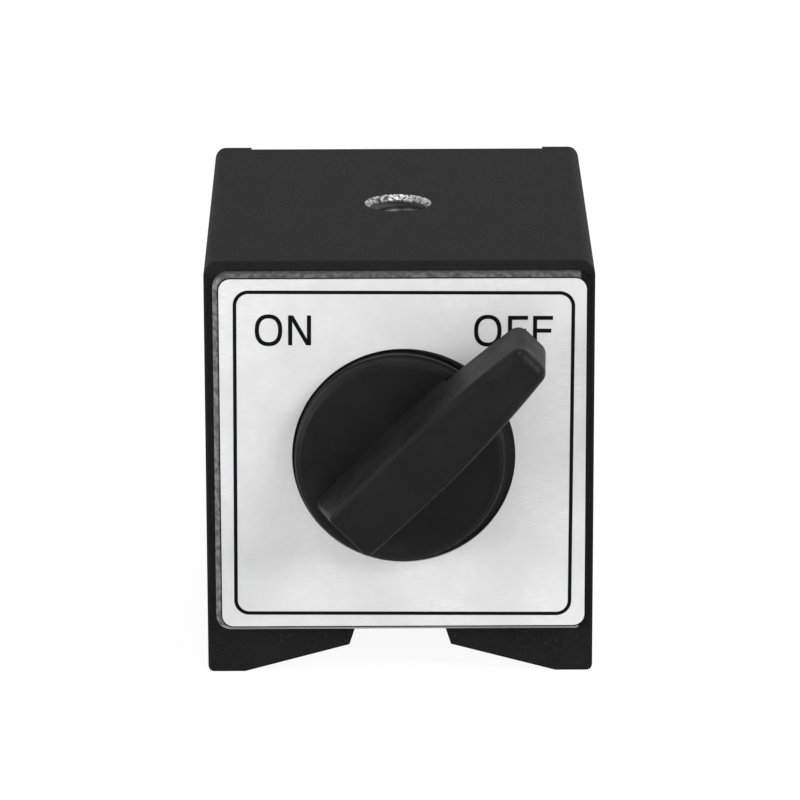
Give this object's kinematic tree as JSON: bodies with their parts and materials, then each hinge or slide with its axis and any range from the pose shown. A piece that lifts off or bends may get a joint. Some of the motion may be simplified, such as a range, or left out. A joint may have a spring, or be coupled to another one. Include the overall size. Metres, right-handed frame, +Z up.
{
  "type": "magnetic base",
  "caption": "Switchable magnetic base: black steel block with a V-grooved foot, a tapped hole on top, and a silver dial with a black lever knob that turns the inner magnet.",
  "frame": {"origin": "middle of the whole object's footprint, on the surface that the two feet stand on", "axes": "+Z up, out of the tapped hole; +Y from the knob and dial to the rear; +X to the right when looking at the dial"},
  "size_m": [0.05, 0.0778, 0.055],
  "materials": {
    "body_paint": "satin fine-textured black paint on steel",
    "filler_metal": "die-cast filler strip, painted black outside, bare in the tapped hole",
    "cast_cover": "dark grey cast plate with a mottled skin",
    "dial": "fine brushed silver plate with black print",
    "knob_plastic": "satin black moulded plastic",
    "rear_sheet": "black painted sheet",
    "screw_steel": "zinc-plated steel",
    "blackened_steel": "blackened steel",
    "magnet": "cast magnet alloy, ground",
    "soft_iron": "machined soft iron",
    "brass": "turned brass",
    "pin_steel": "ground steel pin"
  },
  "bodies": {
    "base": {"left_pole_shoe": "body_paint", "right_pole_shoe": "body_paint", "top_spacer": "filler_metal", "bottom_spacer": "filler_metal", "front_cover": "cast_cover", "dial_plate": "dial", "front_cover_screws": "screw_steel", "stop_pin": "pin_steel", "rear_cover": "rear_sheet", "rear_cover_screws": "blackened_steel", "thrust_washer": "brass"},
    "rotor": {"knob": "knob_plastic", "front_end_cap": "brass", "upper_rotor_pole": "soft_iron", "lower_rotor_pole": "soft_iron", "magnet_block_front": "magnet", "magnet_block_middle": "magnet", "magnet_block_rear": "magnet", "rear_end_cap": "brass", "front_cap_screws": "screw_steel", "rear_cap_screws": "screw_steel"}
  },
  "joints": [
    {"name": "magnet_switch", "type": "hinge", "parent": "base", "child": "rotor", "pos_m": [0, 0, 0.03], "axis": [0, -1, 0], "range_deg": [0, 90]}
  ]
}
